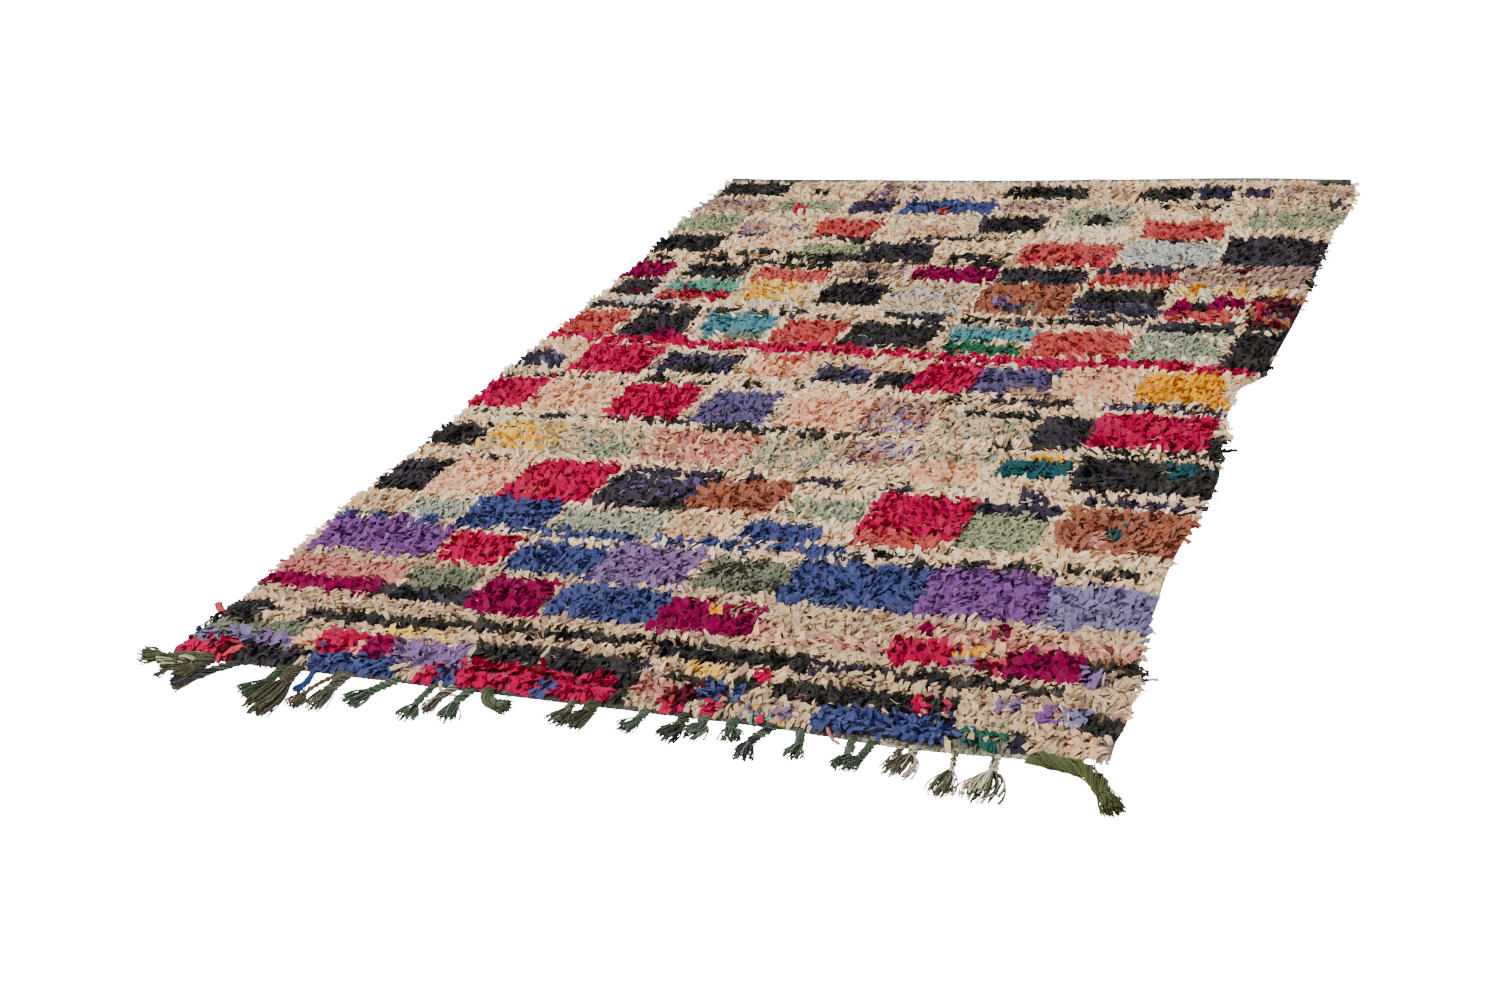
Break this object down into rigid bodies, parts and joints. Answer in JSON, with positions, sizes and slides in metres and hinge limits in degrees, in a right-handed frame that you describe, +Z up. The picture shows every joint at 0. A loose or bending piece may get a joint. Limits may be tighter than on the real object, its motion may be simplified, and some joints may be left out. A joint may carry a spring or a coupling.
{
  "type": "boucherouite rug",
  "caption": "Rectangular rag-pile rug lying flat, shaggy on top, with a flat-woven hem and wool tassels along one short end.",
  "frame": {"origin": "middle of the underside's bounding rectangle, on the surface that the rug rests on", "axes": "+X across the rug, +Y from the tasselled end to the far end, +Z up out of the pile"},
  "size_m": [1.605, 2.3293, 0.0275],
  "materials": {
    "rag_pile": "crumpled strips of worn cotton and jersey cloth, cream with blocks of many colours, matt",
    "wool": "coarse plied wool yarn in dark olive and grey green, matt"
  },
  "bodies": {
    "root": {"rag_pile_rug": "rag_pile", "near_hem_fringe": "wool"}
  },
  "joints": []
}
